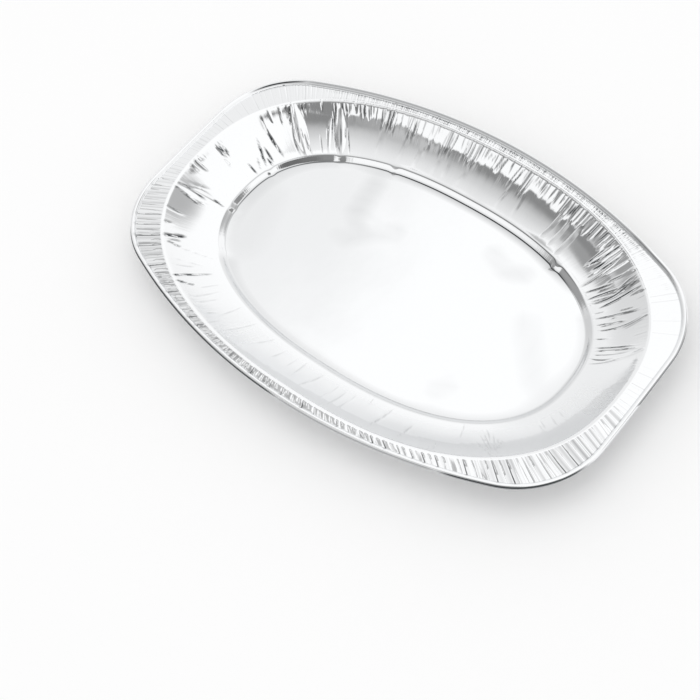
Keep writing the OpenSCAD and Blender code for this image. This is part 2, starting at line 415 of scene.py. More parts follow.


# The folds that can be told apart in the wall, in whole numbers: place (in ten thousandths of
# the way round) and height (in hundredths of the wall's run) of the upper end, the same of the
# lower end, bow (in tenths of a millimetre), half width and rise (in hundredths), painted shade
# (in hundredths), and on some how far they are drawn out to one side.
FOLDS = (
    # The right end: three sheaves of long bowed creases.
    (385, 100, 350, 2, 0, 800, 21, 0), (385, 98, 335, 66, 0, 85, 28, 0), (343, 66, 252, 4, -14, 85, 49, 40),
    (338, 50, 324, 2, -22, 85, 43, 40), (380, 75, 355, 8, 0, 102, -28, 27),
    (396, 90, 399, 4, 16, 85, 49, 37), (428, 82, 444, 4, 4, 94, 49, 49), (408, 62, 416, 10, 0, 80, 38, 50),
    (372, 60, 362, 6, 0, 80, 35, 28), (530, 32, 545, 4, 0, 85, 38, 37), (680, 100, 690, 2, 0, 750, 27, 0),
    (654, 98, 605, 50, 0, 85, 49, 49), (640, 95, 590, 54, 0, 80, 40, 35), (678, 62, 670, 14, 0, 80, 38, 35),
    (728, 88, 754, 40, 0, 80, 42, 40), (669, 92, 642, 4, -31, 85, 55, 49), (657, 66, 699, 4, 5, 85, 43, 40),
    (710, 90, 770, 2, 8, 94, 59, 60), (759, 77, 782, 50, 0, 85, 38, 32), (720, 46, 726, 36, 0, 85, 32, 49),
    (815, 30, 825, 5, 0, 85, 32, 25), (834, 102, 850, 78, 8, 85, -49, 60),
    (975, 100, 985, 2, 0, 850, 36, 0), (894, 97, 864, 15, 2, 102, 65, 80),
    (952, 97, 922, 77, 0, 85, 43, 75), (973, 92, 943, 3, -42, 102, 71, 80),
    (990, 94, 958, 62, 0, 80, 45, 60), (922, 56, 958, 8, 0, 80, 45, 45), (960, 80, 948, 55, 0, 85, 43, 66),
    (965, 60, 991, 4, 3, 94, 59, 80), (1006, 47, 1022, 30, 0, 85, 43, 66),
    (1027, 56, 1070, 5, 0, 94, 55, 80), (1040, 80, 1060, 50, 0, 94, 43, 66),
    (1010, 102, 1063, 84, 0, 94, 55, 0), (1111, 102, 1128, 50, 0, 102, 55, 0),
    (1168, 97, 1138, 6, 8, 220, 90, 0), (1176, 92, 1184, 46, 0, 94, -65, 100),
    (1200, 102, 1195, 30, 0, 200, 90, 0), (1220, 68, 1227, 38, 0, 110, -59, 100),
    (1240, 102, 1262, 50, 6, 85, -55, 100), (1225, 102, 1250, 60, 0, 110, 55, 0),
    (1262, 75, 1290, 36, -8, 85, -55, 100), (1280, 97, 1290, 38, 0, 220, 130, 0),
    (1305, 80, 1300, 36, 6, 85, -55, 100), (1340, 90, 1342, 72, 0, 200, 70, 0),
    # The far side: light streaks low down, and single creases in the dark part.
    (1580, 72, 1565, 8, 0, 130, 85, 0, 3), (1680, 72, 1672, 12, 0, 110, 60, 0, 3),
    (1765, 74, 1775, 16, 0, 120, 70, 0, 3), (2130, 72, 2105, 14, -5, 110, -22, 0, 3),
    (2240, 60, 2275, 14, 4, 110, -22, 0, 3), (2640, 40, 2690, 15, -6, 140, -22, 0, 3),
    (2805, 42, 2825, 16, 0, 150, -22, 0, 3), (2895, 42, 2935, 15, -5, 130, -22, 0, 3),
    (3030, 60, 3060, 40, 0, 100, -22, 0, 3), (3080, 48, 3112, 14, 2, 140, -22, 0, 3),
    (3225, 52, 3262, 15, 2, 140, -22, 0, 3), (3445, 48, 3478, 16, 2, 140, -22, 0, 3),
    # The upper left: two big folds with smaller ones beside them.
    (3700, 102, 3685, 84, 0, 200, 70, 0), (3815, 102, 3805, 2, 0, 500, 140, 0),
    (3750, 62, 3720, 3, 6, 88, -45, 50), (3762, 95, 3748, 75, 0, 80, -45, 85),
    (3774, 58, 3764, 34, 0, 80, -35, 50), (3796, 95, 3775, 74, 0, 80, -40, 75),
    (3813, 62, 3810, 12, 0, 170, -45, 45), (3842, 93, 3848, 78, 0, 80, -40, 75),
    (3852, 82, 3840, 1, 27, 96, -50, 50), (3866, 92, 3868, 74, 0, 80, -30, 60),
    (3848, 95, 3890, 37, 3, 130, 55, 0), (3879, 75, 3894, 43, 0, 80, -40, 80),
    (3895, 70, 3932, 5, 6, 180, 60, 0), (3930, 55, 3940, 24, 0, 96, -30, 30),
    (3958, 102, 3962, 86, 0, 96, 50, 0), (3998, 40, 3995, 3, 4, 88, -40, 50),
    (4180, 102, 4165, 2, 0, 660, 210, 0), (4135, 48, 4103, 2, 12, 130, -50, 50),
    (4117, 94, 4113, 78, 0, 80, -40, 80), (4168, 58, 4155, 34, 0, 80, -35, 50),
    (4190, 64, 4199, 27, 0, 80, -40, 70), (4187, 102, 4212, 68, 0, 88, 45, 0),
    (4205, 97, 4252, 63, 3, 88, -45, 80), (4208, 75, 4220, 1, 35, 130, -50, 55),
    (4290, 100, 4305, 70, 0, 150, 50, 0), (4380, 102, 4380, 78, 0, 160, 50, 0),
    (4462, 95, 4395, 7, 16, 160, -55, 90),
    # The left end.
    (4555, 64, 4620, 5, 0, 150, -42, 90), (4540, 46, 4522, 8, 0, 140, -38, 80),
    (4568, 24, 4545, 0, 0, 130, -38, 85), (4640, 34, 4692, 8, 0, 130, -28, 45),
    (4757, 33, 4753, 4, 0, 130, -36, 75), (4828, 94, 4858, 60, 0, 95, -40, 85),
    (4850, 96, 4882, 62, 0, 95, -34, 85), (4872, 93, 4914, 48, 0, 95, -42, 85),
    (5058, 102, 5040, 85, 0, 100, -40, 60), (5092, 102, 5084, 69, 0, 150, -55, 70),
    (5134, 102, 5142, 79, 0, 180, -50, 60), (5335, 102, 5300, 20, 0, 500, 110, 0),
    (5280, 82, 5212, 46, 0, 120, 45, 25), (5325, 98, 5290, 68, 0, 100, -35, 50),
    (5312, 86, 5336, 42, 0, 100, -45, 80), (5355, 102, 5418, 36, 6, 130, -38, 60),
    (5375, 86, 5405, 66, 0, 100, 30, 30), (5380, 54, 5397, 38, 0, 100, -30, 40),
    (5286, 34, 5312, 8, 0, 140, -38, 80), (5550, 102, 5567, 68, 0, 180, -50, 45),
    (5695, 98, 5685, 84, 0, 100, -30, 40), (5818, 99, 5778, 58, 0, 190, -60, 85),
    (5842, 92, 5836, 67, 0, 130, -38, 75), (5864, 94, 5898, 70, 0, 150, -38, 75),
    (5900, 80, 6005, 6, -16, 130, -25, 15), (6020, 92, 6085, 30, -8, 140, -25, 14),
    (6105, 95, 6090, 50, 0, 130, 25, 16), (6205, 99, 6170, 22, -8, 150, -50, 80),
    (6255, 100, 6302, 68, 0, 140, -30, 75),
    # The near side, where the creases are soft, and a fan of them near the right end.
    (6440, 95, 6380, 25, 0, 150, 22, 15), (6605, 88, 6620, 58, 0, 120, -20, 19),
    (6650, 68, 6600, 6, 0, 150, -20, 15), (6815, 88, 6830, 6, 0, 150, -18, 15),
    (6500, 90, 6468, 40, 0, 140, 22, 14), (6330, 70, 6300, 15, -5, 140, -20, 14),
    (7200, 60, 7222, 4, 0, 150, -20, 15), (7000, 66, 7062, 6, 6, 150, -20, 15),
    (7345, 55, 7330, 10, 0, 140, -20, 12), (7460, 72, 7415, 4, -12, 160, -22, 15),
    (7530, 92, 7605, 4, 16, 180, 30, 15), (7745, 80, 7765, 15, 0, 160, 25, 15),
    (7820, 100, 7848, 15, 4, 150, 28, 15), (7890, 92, 7925, 12, 4, 150, 28, 15),
    (8045, 36, 8055, 4, 0, 130, -20, 15), (8145, 92, 8245, 5, 8, 160, 32, 19),
    (8375, 92, 8448, 30, 4, 160, 30, 19), (8660, 98, 8655, 60, 0, 130, -20, 15),
    (8815, 46, 8842, 2, 0, 130, -20, 15), (9050, 100, 8920, 42, 8, 120, 25, 19),
    (9050, 96, 8960, 24, 8, 120, 25, 19), (9052, 90, 8990, 12, 6, 120, 25, 19),
    (9055, 86, 9030, 10, 4, 120, 25, 19), (9060, 86, 9080, 26, 0, 120, 25, 19),
    (9060, 92, 9115, 36, 0, 120, 22, 19), (9065, 96, 9142, 42, 0, 120, 22, 19),
    (9450, 52, 9462, 30, 0, 130, -20, 19), (9480, 50, 9500, 10, 0, 130, -20, 15),
    (9560, 62, 9600, 14, 0, 140, -20, 15), (9640, 60, 9680, 20, 0, 140, -20, 13),
    (9860, 96, 9835, 66, 0, 130, -18, 13), (9950, 98, 9910, 70, 0, 130, -18, 15),
    (120, 98, 80, 72, 0, 130, -18, 15),
)
FOLD_UNITS = (10000, 100, 10000, 100, 10, 100, 100, 100, 1)


@dataclass(frozen=True)
class Cluster:
    """Short creases that hang side by side from the ridge.

    The place and the spread to either side are shares of the way round, the reach is a share of
    the wall's run, and the lean and the rise are in millimetres.
    """

    place: float
    spread: float
    count: int
    reach: float
    lean: float
    rise: float
    # How much shade is painted along the creases.
    shade: float


CLUSTERS = (
    (0.137, 0.006, 4, 0.22, 1.0, 0.5, 0.52), (0.148, 0.005, 5, 0.32, 0.5, 0.5, 0.52),
    (0.16, 0.006, 6, 0.3, 0.5, 0.5, 0.45), (0.174, 0.007, 7, 0.32, 1.0, 0.5, 0.52),
    (0.188, 0.006, 4, 0.27, 1.5, 0.4, 0.38), (0.202, 0.005, 3, 0.22, 2.0, 0.35, 0.3),
    (0.2145, 0.0035, 4, 0.46, 2.5, 0.4, 0.38), (0.2245, 0.003, 4, 0.38, 4.5, 0.45, 0.52),
    (0.231, 0.001, 1, 0.18, 1.5, 0.35, 0.38), (0.24, 0.003, 3, 0.32, 4.0, 0.45, 0.52),
    (0.25, 0.004, 3, 0.22, 2.5, 0.3, 0.3), (0.266, 0.007, 8, 0.46, 2.5, 0.32, 0.3),
    (0.287, 0.004, 5, 0.5, 3.0, 0.35, 0.38), (0.305, 0.006, 3, 0.32, 3.0, 0.25, 0.15),
    (0.32, 0.004, 4, 0.44, 2.5, 0.3, 0.3), (0.34, 0.006, 7, 0.4, 3.5, 0.38, 0.38),
    (0.359, 0.006, 6, 0.22, -1.0, 0.45, 0.45), (0.427, 0.003, 2, 0.26, 1.5, 0.35, 0.38),
)


@dataclass
class Gathers:
    """Everything that the gathering of the sheet leaves in it: folds, crimps, nicks, dents."""

    girth: float
    seed: int = 41
    # Nicks in the step: places, each with its depth in millimetres, and how far each spreads.
    nicks: Table = ((0.146, 1.6), (0.326, 0.9), (0.382, 0.6), (0.460, 0.9), (0.527, 0.7), (0.588, 0.6))
    nick_spread: float = 0.007
    # Shallow dents in the well panel: centre X and Y, spread and height in millimetres.
    dents: tuple[tuple[float, float, float, float], ...] = (
        (-66.0, 36.0, 13.0, 0.50), (-44.0, 24.0, 14.0, 0.40), (66.0, 56.0, 11.0, 0.45),
        (118.0, 6.0, 15.0, 0.45), (-10.0, -20.0, 30.0, 0.32),
    )
    # The panel's slow ripple: height, how long its waves are along X, along Y and slantwise, for
    # each radian, and their phases in radians.
    ripple_h: float = 0.10
    ripple_long: tuple[float, float, float] = (17.0, 13.0, 41.0)
    ripple_phase: tuple[float, float] = (1.1, 0.6)
    # Shade painted on the panel along its dents: from and to which point, how
    # wide the mark is, all in millimetres, and how dark.
    painted_dent_marks: tuple[tuple[float, float, float, float, float, float], ...] = (
        (-74.0, 66.0, -67.0, 32.0, 9.5, 0.105), (-30.0, 36.0, -64.0, 8.0, 9.5, 0.085),
        (45.0, 62.0, 62.0, 53.0, 8.5, 0.085), (64.0, 53.0, 76.0, 58.0, 8.5, 0.095),
        (103.0, 24.0, 138.0, -14.0, 12.0, 0.075), (82.0, -58.0, 87.0, -50.0, 10.0, 0.070),
        (-126.0, -36.0, -140.0, 4.0, 22.0, 0.070),
    )
    # How deep the crimps are round the pan.
    crimp_round: Table = (
        (0.00, 0.25), (0.10, 0.20), (0.15, 0.55), (0.34, 0.60), (0.38, 0.35), (0.45, 0.22),
        (0.52, 0.30), (0.55, 0.85), (0.62, 1.05), (0.80, 1.00), (0.88, 0.90), (0.95, 0.85),
        (1.00, 0.25),
    )
    # How far the crimps slant on their way out, in crimps.
    slant_round: Table = (
        (0.00, 0.0), (0.12, 0.2), (0.36, 0.1), (0.50, 0.1), (0.54, 0.2), (0.58, -0.9), (0.66, -0.8),
        (0.72, 0.0), (0.78, 0.5), (0.84, 0.9), (0.94, 0.8), (0.975, -0.5), (1.00, 0.0),
    )
    # How deep the smaller grooves between the crimps are.
    second_round: Table = (
        (0.00, 0.3), (0.03, 0.05), (0.30, 0.3), (0.36, 0.35), (0.46, 0.1), (0.53, 0.5), (0.60, 0.7),
        (0.72, 0.8), (0.80, 0.2), (0.88, 0.3), (0.91, 0.9), (0.975, 0.9), (1.00, 0.3),
    )
    # How strongly the outer half of the flange is pleated again, more finely.
    pleat_round: Table = (
        (0.00, 0.0), (0.10, 0.1), (0.15, 1.0), (0.33, 1.0), (0.37, 0.3), (0.42, 0.0), (0.60, 0.0),
        (0.64, 0.3), (0.74, 0.3), (0.80, 0.0), (1.00, 0.0),
    )
    # The same by share across the flange, the real width of a pleat, and its least and its further
    # height and painted shade, of which each pleat has a random part.
    pleat_out: Table = ((0.0, 0.7), (0.25, 0.1), (0.5, 0.35), (0.75, 1.0), (1.0, 0.1))
    pleat_mm: float = 1.45
    pleat_height: tuple[float, float] = (0.06, 0.42)
    pleat_shade: tuple[float, float] = (0.15, 1.2)
    # How rough the wall is below the ridge.
    rough_round: Table = (
        (0.00, 0.15), (0.03, 0.20), (0.09, 0.50), (0.12, 1.00), (0.37, 1.00), (0.40, 0.50),
        (0.44, 0.10), (0.60, 0.12), (0.66, 0.35), (0.93, 0.30), (0.97, 0.10), (1.00, 0.15),
    )
    # A band of painted shade under the ridge, darker than the rest: the height that it starts
    # from, round the pan, and how dark it is.
    painted_band_from: Table = (
        (0.000, 0.62), (0.020, 0.90), (0.030, 1.10), (0.660, 1.10), (0.690, 0.90), (0.720, 0.80),
        (0.760, 0.74), (0.800, 0.69), (0.840, 0.63), (0.880, 0.57), (0.920, 0.50), (0.960, 0.51),
        (1.000, 0.62),
    )
    dull_and_painted_shade: float = 0.10
    # How unevenly that band starts, and over which share of the wall it fades in.
    painted_band_uneven: float = 0.012
    painted_band_fade: float = 0.04
    # Slow swells of the wall: how many round the pan, phase in radians, and height.
    swells: tuple[tuple[int, float, float], ...] = (
        (9, 0.4, 0.14), (14, 2.1, 0.11), (23, 4.0, 0.08), (37, 1.2, 0.05),
    )
    # How far these twist from the foot to the ridge, in radians.
    swell_twist: float = 1.7
    # Fine ripples in bands up the wall: how many bands, how many knots round the pan, height, and
    # the share of the wall's run from which they fade in.
    ripple_bands: int = 3
    ripple_knots: int = 430
    wall_ripple: float = 0.07
    ripple_from: float = 0.35
    # A crimp's groove and the lesser groove between two crimps, as half widths in crimps.
    groove_half: float = 0.12
    between_half: float = 0.16
    # The least depth of a groove, how much more the deepest has, and how rare the deep ones are.
    depth_least: float = 0.30
    depth_more: float = 0.85
    depth_rare: float = 1.3
    # How far a crimp's crown stands up for its depth, and how far its two grooves go down.
    crown: float = 0.12
    groove_deep: float = 0.75
    second_deep: float = 0.5
    # How far a crimp's two halves tilt, and how much shade is painted into the grooves for their depth.
    tilt: float = 1.3
    groove_shade: float = 0.6
    second_shade: float = 0.7
    # The share of its depth that a crimp has at the ridge, and how fast it gets the rest.
    grown_least: float = 0.30
    grown_fast: float = 1.4
    # Where creases too fine for the mesh spread what the wall mirrors.
    soft_round: Table = (
        (0.00, 0.9), (0.02, 0.5), (0.03, 0.0), (0.62, 0.0), (0.68, 0.9), (0.72, 1.0), (0.96, 1.0),
        (1.00, 0.9),
    )
    folds: list[Fold] = field(init=False)
    ripples: np.ndarray = field(init=False)

    def __post_init__(self) -> None:
        """Lays the folds out."""
        dice = random.Random(self.seed)
        listed = [Fold(*(whole / unit for whole, unit in zip(row, FOLD_UNITS))) for row in FOLDS]
        self.folds = listed + self.short_creases(dice) + self.wrinkles(dice)
        draws = [dice.uniform(-1, 1) for _ in range(self.ripple_bands * self.ripple_knots)]
        self.ripples = np.array(draws).reshape(self.ripple_bands, self.ripple_knots)

    def short_creases(self, dice: random.Random) -> list[Fold]:
        """The creases of the clusters.

        Args:
            dice: the source of the irregularity.

        Returns:
            The creases.
        """
        made = []
        for group in (Cluster(*row) for row in CLUSTERS):
            for i in range(group.count):
                across = (2 * (i + dice.uniform(0.15, 0.85)) / group.count - 1) * group.spread
                lean = (group.lean + dice.uniform(-0.8, 0.8)) / self.girth
                made.append(
                    Fold(
                        upper=group.place + across - lean / 2,
                        top=dice.choice([1.02, 1.02, 0.95]),
                        lower=group.place + across + lean / 2,
                        bottom=1 - group.reach * dice.uniform(0.75, 1.15),
                        bow=dice.uniform(-0.5, 0.5),
                        half_width=dice.uniform(0.55, 0.85),
                        rise=dice.choice([-1, -1, 1]) * group.rise * dice.uniform(0.5, 0.9),
                        shade=min(1.0, group.shade * dice.uniform(0.8, 1.6)),
                        drawn_out=dice.uniform(1.0, 1.8),
                    )
                )
        return made

    def wrinkles(self, dice: random.Random) -> list[Fold]:
        """Short faint wrinkles under the ridge, all the way round.

        Args:
            dice: the source of the irregularity.

        Returns:
            The wrinkles.
        """
        made = []
        at = 0.0
        while at < self.girth:
            rough = float(read_off(self.rough_round, at / self.girth))
            made.append(
                Fold(
                    upper=at / self.girth,
                    top=1.02,
                    lower=(at + dice.uniform(-0.5, 1.8)) / self.girth,
                    bottom=1 - dice.uniform(0.10, 0.30),
                    bow=dice.uniform(-0.3, 0.3),
                    half_width=dice.uniform(0.6, 1.2),
                    rise=dice.uniform(-0.28, 0.20) * rough,
                    shade=dice.uniform(0.0, 0.45) * rough,
                )
            )
            at += dice.uniform(2.0, 6.0)
        return made

    def wall(self, place: np.ndarray, share: float) -> tuple[np.ndarray, np.ndarray]:
        """How the wall is pushed out of its smooth form, and the shade painted on its folds and in a band
        under the ridge.

        Args:
            place: shares of the way round.
            share: how far up the wall, from 0 to 1.

        Returns:
            The push along the surface's normal in millimetres, and the painted shade from 0 to 1.
        """
        push = np.zeros_like(place)
        dark = np.zeros_like(place)
        along = place * self.girth
        for fold in self.folds:
            moved, shade = fold.shape(along, self.girth, share)
            push += moved
            dark = np.maximum(dark, shade)
        knots = np.linspace(0, 1, self.ripple_knots)
        # Painted shade: a band under the ridge, with an uneven lower edge that fades in.
        edge = read_off(self.painted_band_from, place) + self.painted_band_uneven * np.interp(place, knots, self.ripples[0])
        dark = np.maximum(dark, self.dull_and_painted_shade * smooth((share - edge) / self.painted_band_fade + 0.5))
        around = 2 * math.pi * place
        swell = np.zeros_like(place)
        for turns, phase, size in self.swells:
            swell += size * np.sin(turns * around + phase + self.swell_twist * share)
        push = push + swell * math.sin(math.pi * min(1.0, share))
        band = min(self.ripple_bands - 1, int(self.ripple_bands * (1 - share)))
        ripple = self.wall_ripple * np.interp(place, knots, self.ripples[band])
        fade = max(0.0, share - self.ripple_from) / (1 - self.ripple_from)
        return push + ripple * read_off(self.rough_round, place) * fade, dark

    def crimps(self, crimp: np.ndarray, part: np.ndarray, share: float) -> tuple[np.ndarray, np.ndarray]:
        """The flange's crimps: pleats of uneven width with a sharp groove between them.

        Args:
            crimp: which crimp each station is in.
            part: how far across its crimp each station is, from 0 to 1.
            share: how far out on the flange, from 0 at the ridge to 1 at the rolled rim.

        Returns:
            The push along the normal in millimetres, and the painted shade from 0 to 1.
        """
        total = crimp.max() + 1
        place = (crimp + part) / total
        strength = read_off(self.crimp_round, place)
        depth = (self.depth_least + self.depth_more * scatter(crimp, 1) ** self.depth_rare) * strength
        groove = np.maximum(0, 1 - np.abs(part - 0.5) / self.groove_half)
        between = np.maximum(0, 1 - np.minimum(part, 1 - part) / self.between_half)
        second = between * read_off(self.second_round, place) * scatter(crimp, 3)
        tilt = (scatter(crimp, 4) - 0.5) * self.tilt * (part - 0.5) * (1 - between) * strength
        grown = self.grown_least + (1 - self.grown_least) * min(1.0, self.grown_fast * share)
        push = grown * (
            self.crown * depth + tilt - self.groove_deep * depth * groove - self.second_deep * second
        )
        pleat = read_off(self.pleat_round, place) * float(read_off(self.pleat_out, share))
        walked = place * self.girth / self.pleat_mm
        fine = np.floor(walked).astype(int)
        zigzag = 1 - 4 * np.abs(walked - fine - 0.5)
        uneven = scatter(fine, 7)
        # Painted shade in the grooves, and on one side of each fine pleat.
        dark = np.maximum(groove * depth * self.groove_shade, self.second_shade * second)
        height, shade = (least + more * uneven for least, more in (self.pleat_height, self.pleat_shade))
        dark = np.maximum(dark, pleat * np.clip(0.5 - zigzag, 0, 1) * shade)
        return push + pleat * zigzag * height, np.minimum(dark, 1)

    def nick(self, place: np.ndarray) -> np.ndarray:
        """How deep the nicks in the step are at each station, in millimetres."""
        deep = np.zeros_like(place)
        for at, depth in self.nicks:
            gap = np.abs(place - at)
            off = np.minimum(gap, 1 - gap) / self.nick_spread
            deep += depth * smooth(1 - off)
        return deep

    def dent(self, x: np.ndarray, y: np.ndarray) -> np.ndarray:
        """How far the well panel is raised by its dents, in millimetres."""
        raised = np.zeros_like(x)
        for cx, cy, spread, height in self.dents:
            raised += height * np.exp(-((x - cx) ** 2 + (y - cy) ** 2) / (2 * spread**2))
        along_x, along_y, slantwise = self.ripple_long
        first, second = self.ripple_phase
        ripple = np.sin(x / along_x + first) * np.sin(y / along_y + x / slantwise + second)
        return raised + self.ripple_h * ripple + self.ripple_h

    def dent_shade(self, x: np.ndarray, y: np.ndarray) -> np.ndarray:
        """How much shade is painted on the well panel along its dents, from 0 to 1."""
        dull_and_painted_shade = np.zeros_like(x)
        for ax, ay, bx, by, width, shade in self.painted_dent_marks:
            long_x, long_y = bx - ax, by - ay
            part = np.clip(((x - ax) * long_x + (y - ay) * long_y) / (long_x**2 + long_y**2), 0, 1)
            off = np.hypot(x - ax - part * long_x, y - ay - part * long_y)
            dull_and_painted_shade = np.maximum(dull_and_painted_shade, shade * np.exp(-0.5 * (off / width) ** 2))
        return dull_and_painted_shade


@dataclass(frozen=True)
class Ring:
    """One line round the sheet.

    It has its points, the shade painted at each, every how many of them are used, how softly
    each mirrors, and how far the sheet was drawn in there, which is not at all in the well.
    """

    points: np.ndarray
    shade: np.ndarray
    stride: int
    soft: Optional[np.ndarray] = None
    drawn: float = 1.0


@dataclass
class FoilSheet:
    """The whole pan as one sheet of foil with its real thickness."""

    plan: Plan = field(default_factory=Plan)
    section: Section = field(default_factory=Section)
    crimp_count: int = 224
    # Stations across each crimp, closer together at its groove, and twice as many where the wall
    # is creased most finely, which is from the first of the fine crimps to the last.
    across_crimp: tuple[float, ...] = (0.07, 0.40, 0.50, 0.60, 0.93)
    across_fine: tuple[float, ...] = (0.04, 0.14, 0.25, 0.36, 0.46, 0.54, 0.64, 0.75, 0.86, 0.96)
    fine_crimps: tuple[int, int] = (3, 98)
    # How far each station slides within its crimp, at most, so that no two crimps are alike.
    station_slide: float = 0.34
    # The well's rings: how far out, and every how many stations each has a point.
    well_rings: tuple[tuple[float, int], ...] = (
        (0.05, 16), (0.15, 16), (0.26, 8), (0.37, 8), (0.48, 8), (0.58, 4), (0.68, 4), (0.77, 4),
        (0.85, 2), (0.92, 2),
    )
    # The panel is flat at its edge, and its dents fade in over this share of its run.
    dents_until: float = 0.97
    dents_fade: float = 0.2
    wall_rings: int = 17
    # Where the wall's first and last ring are, clear of the rounded folds at its foot and ridge,
    # and over how many rings the mirror gets soft.
    wall_from: float = 0.06
    wall_to: float = 0.955
    soft_rings: int = 3
    flange_rings: int = 5
    # How far out from the ridge its rounding ends and the crimps start, in millimetres.
    ridge_out: float = 1.5
    crimps_from: float = 2.3
    # The ridge's rings, as shares of its rounding, and how much of the wall's gathers it keeps.
    ridge_rings: tuple[float, ...] = (0.3, 0.6, 1.0)
    ridge_keeps: float = 0.5
    roll_rings: int = 12
    # Every how many stations the roll has a point, and the lower face has one, on and off the
    # roll. The shade painted on creases is half as dark on the lower face.
    roll_stride: int = 2
    lower_roll_stride: int = 4
    lower_stride: int = 2
    lower_shade: float = 0.5
    # The crimps' print on the roll: how high, how much of their painted shade it keeps, and the angle at
    # which it ends.
    print_height: float = 0.3
    print_shade: float = 0.6
    print_end: float = 110.0
    # Faces that meet at more than this many degrees meet at a sharp edge.
    sharp_angle: float = 34.0
    # How much of the step's run each of its two folds is rounded over, and where the rounding
    # begins in the well and ends in the wall.
    step_round: float = 0.13
    step_in: float = 0.993
    step_out: float = 0.02
    # The shares of a fold's rounding that have a ring, and how much shade is painted into a nick for its
    # depth.
    step_turns: tuple[float, ...] = (0.0, 0.5, 1.0)
    nick_shade: float = 0.25
    # The step's rings: how far a nick pulls each inwards and down, and how much shade is painted on its
    # fold.
    step_rings: tuple[tuple[float, float, float], ...] = (
        (0.7, 0, 0.3), (1.0, 0, 1.0), (1.0, 0.1, 0.25), (1.0, 0.2, 0.0), (1.0, 0.3, 0.1),
        (0.9, 0.4, 0.5), (0.6, 0.2, 0.1),
    )
    # The shade painted on the step's lower fold, round the pan. Its upper fold is half as dark.
    painted_step_line: Table = (
        (0.00, 0.12), (0.11, 0.15), (0.14, 0.85), (0.30, 0.80), (0.37, 0.45), (0.40, 0.60), (0.50, 0.60),
        (0.55, 0.30), (0.60, 0.12), (1.00, 0.12),
    )
    # Shade painted over the whole step, round the pan.
    step_painted_shade: Table = (
        (0.00, 0.10), (0.08, 0.10), (0.10, 0.00), (0.58, 0.00), (0.60, 0.13), (1.00, 0.10),
    )
    # Lines of shade painted along the roll, one of them all round its underside: from and to which
    # place, at which angle round the roll and how wide, both in degrees, and how dark.
    painted_roll_lines: tuple[tuple[float, float, float, float, float], ...] = (
        (-0.1, 1.1, 200.0, 40.0, 0.25), (0.08, 0.42, 12.0, 26.0, 0.60), (0.10, 0.42, 72.0, 26.0, 0.60),
        (0.40, 0.45, 50.0, 28.0, 1.00), (0.57, 0.76, 143.0, 28.0, 1.00), (0.86, 0.96, 150.0, 32.0, 1.00),
        (-0.1, 0.065, 145.0, 30.0, 0.60), (0.08, 0.14, 45.0, 32.0, 0.60), (0.50, 0.58, 150.0, 28.0, 0.45),
        (0.74, 0.88, 150.0, 28.0, 0.60),
    )
    # The share of the way round over which each line fades at its ends.
    mark_fade: float = 0.02
    # Which crimp each station is in, how far across it, the plan's curves there, the gathers, how
    # many stations there are, and the rings of both faces.
    crimp: np.ndarray = field(init=False)
    part: np.ndarray = field(init=False)
    lines: Lines = field(init=False)
    gathers: Gathers = field(init=False)
    count: int = field(init=False)
    rings: list[Ring] = field(init=False)

    def __post_init__(self) -> None:
        """Works out the stations and the gathers."""
        first, last = self.fine_crimps
        crimps = range(self.crimp_count)
        marks = [self.across_fine if first <= i <= last else self.across_crimp for i in crimps]
        self.crimp = np.repeat(np.arange(self.crimp_count), [len(m) for m in marks])
        self.part = np.concatenate([np.array(m) for m in marks])
        nudge = (scatter(self.crimp, 5) - 0.5) * self.station_slide * np.sin(math.pi * self.part)
        self.lines = self.plan.lines((self.crimp + self.part + nudge) / self.crimp_count)
        self.gathers = Gathers(self.plan.girth())
        self.count = len(self.crimp)

    def rounded(self, before: np.ndarray, corner: np.ndarray, after: np.ndarray, q: float) -> np.ndarray:
        """A line of a rounded fold between two flats that would meet at a corner."""
        return (1 - q) ** 2 * before + 2 * q * (1 - q) * corner + q**2 * after

    def well(self) -> list[Ring]:
        """The well panel from its middle to the start of the step, with its shallow dents.

        Returns:
            The panel's rings, from the inside out.
        """
        made = []
        for share, stride in self.well_rings:
            points = self.section.at(self.lines, Zone.WELL, share)
            x, y = points[:, 0], points[:, 1]
            fade = float(smooth(np.array((self.dents_until - share) / self.dents_fade)))
            points[:, 2] += fade * self.gathers.dent(x, y)
            # Painted shade along the dents darkens the panel's colour.
            made.append(Ring(points, self.gathers.dent_shade(x, y), stride, drawn=0.0))
        return made

    def step(self) -> list[Ring]:
        """The step, with both of its folds rounded and the nicks pressed into it.

        Returns:
            The step's rings, from the inside out.
        """
        at = self.section.at
        low = at(self.lines, Zone.STEP, 0)
        high = at(self.lines, Zone.STEP, 1)
        start = low - (at(self.lines, Zone.WELL, 1.0) - at(self.lines, Zone.WELL, self.step_in))
        lower = at(self.lines, Zone.STEP, self.step_round)
        upper = at(self.lines, Zone.STEP, 1 - self.step_round)
        finish = at(self.lines, Zone.WALL, self.step_out)
        made = [self.rounded(start, low, lower, q) for q in self.step_turns]
        made += [at(self.lines, Zone.STEP, 0.5)]
        made += [self.rounded(upper, high, finish, q) for q in self.step_turns]
        nick = self.gathers.nick(self.lines.place)
        inward = -low[:, :2] / np.linalg.norm(low[:, :2], axis=1)[:, None]
        line = read_off(self.painted_step_line, self.lines.place)
        dull_and_painted_shade = read_off(self.step_painted_shade, self.lines.place)
        rings = []
        for points, (pull, drop, fold) in zip(made, self.step_rings):
            points[:, :2] += inward * (nick * pull)[:, None]
            points[:, 2] -= nick * drop * min(1.0, float(points[0, 2]))
            # Painted shade: in the nicks, on the step's folds and over the whole step.
            shade = np.maximum(self.nick_shade * np.minimum(1, nick) * drop, line * fold)
            rings.append(Ring(points, np.maximum(shade, dull_and_painted_shade), 1))
        return rings

